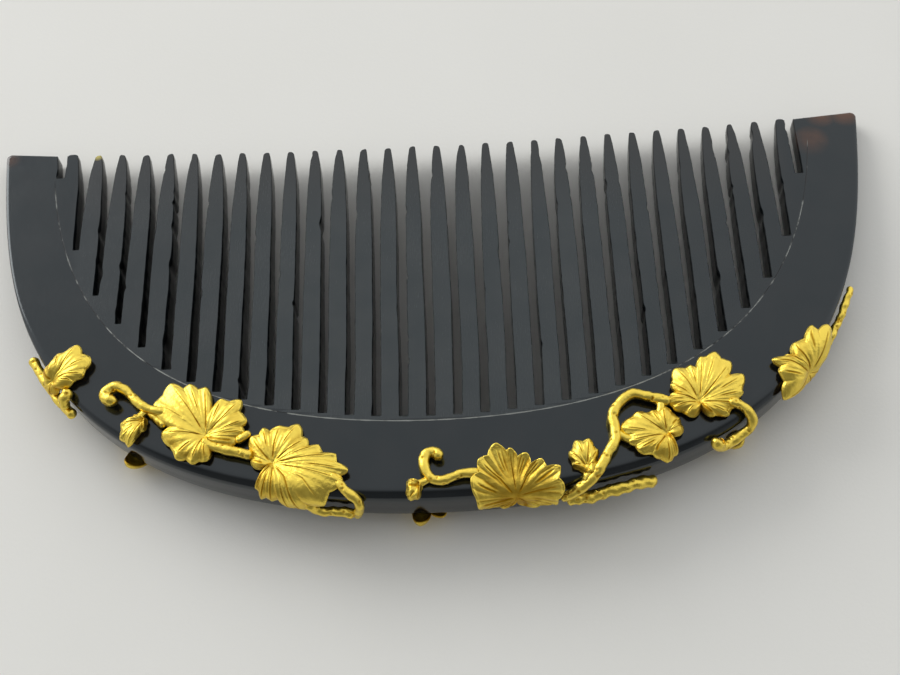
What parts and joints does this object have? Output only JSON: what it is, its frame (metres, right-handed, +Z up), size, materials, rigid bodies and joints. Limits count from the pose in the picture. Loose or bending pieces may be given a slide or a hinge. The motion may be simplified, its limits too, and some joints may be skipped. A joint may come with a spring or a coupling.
{
  "type": "decorative hair comb",
  "caption": "Half-moon dress comb with fine sawn teeth, a wedge-shaped polished dark plate, and applied gold leaves, stems and tendrils on both faces.",
  "frame": {"origin": "middle of the bottom of the box, on the surface that the comb lies on", "axes": "+X along the spine, +Y from the spine to the tooth tips, +Z up through the front face"},
  "size_m": [0.11, 0.051, 0.0101],
  "materials": {
    "shell": "polished near-black shell or horn, slightly translucent brown at thin corners and tooth tips",
    "gold": "satin chased yellow gold with fluted veins and bright burnished rims",
    "pin_gold": "plain drawn gold wire"
  },
  "bodies": {
    "root": {"back_leaf_centre": "gold", "back_leaf_left": "gold", "back_leaf_mid_left": "gold", "back_leaf_mid_right": "gold", "back_leaf_right": "gold", "back_pin_centre": "pin_gold", "back_pin_left": "pin_gold", "back_pin_mid_left": "pin_gold", "back_pin_mid_right": "pin_gold", "back_pin_right": "pin_gold", "back_stem_inner_left": "gold", "back_stem_inner_right": "gold", "back_stem_left": "gold", "back_stem_right": "gold", "back_tendril_left": "gold", "back_tendril_right": "gold", "bud_centre": "gold", "bud_left": "gold", "comb_plate": "shell", "curl_stem_right": "gold", "edge_bar_left": "gold", "edge_branch_right": "gold", "edge_stem_left": "gold", "granules_left": "gold", "leaf_bud_right": "gold", "leaf_centre": "gold", "leaf_far_left": "gold", "leaf_far_right": "gold", "leaf_left": "gold", "leaf_mid_left": "gold", "leaf_right_high": "gold", "leaf_right_low": "gold", "main_stem": "gold", "pin_bud_right": "pin_gold", "pin_centre": "pin_gold", "pin_far_left": "pin_gold", "pin_far_right": "pin_gold", "pin_left": "pin_gold", "pin_mid_left": "pin_gold", "pin_right_high": "pin_gold", "pin_right_low": "pin_gold", "stem_left": "gold", "stem_mid_left": "gold", "tendril_centre": "gold", "tendril_far_right": "gold", "tendril_left": "gold"}
  },
  "joints": []
}
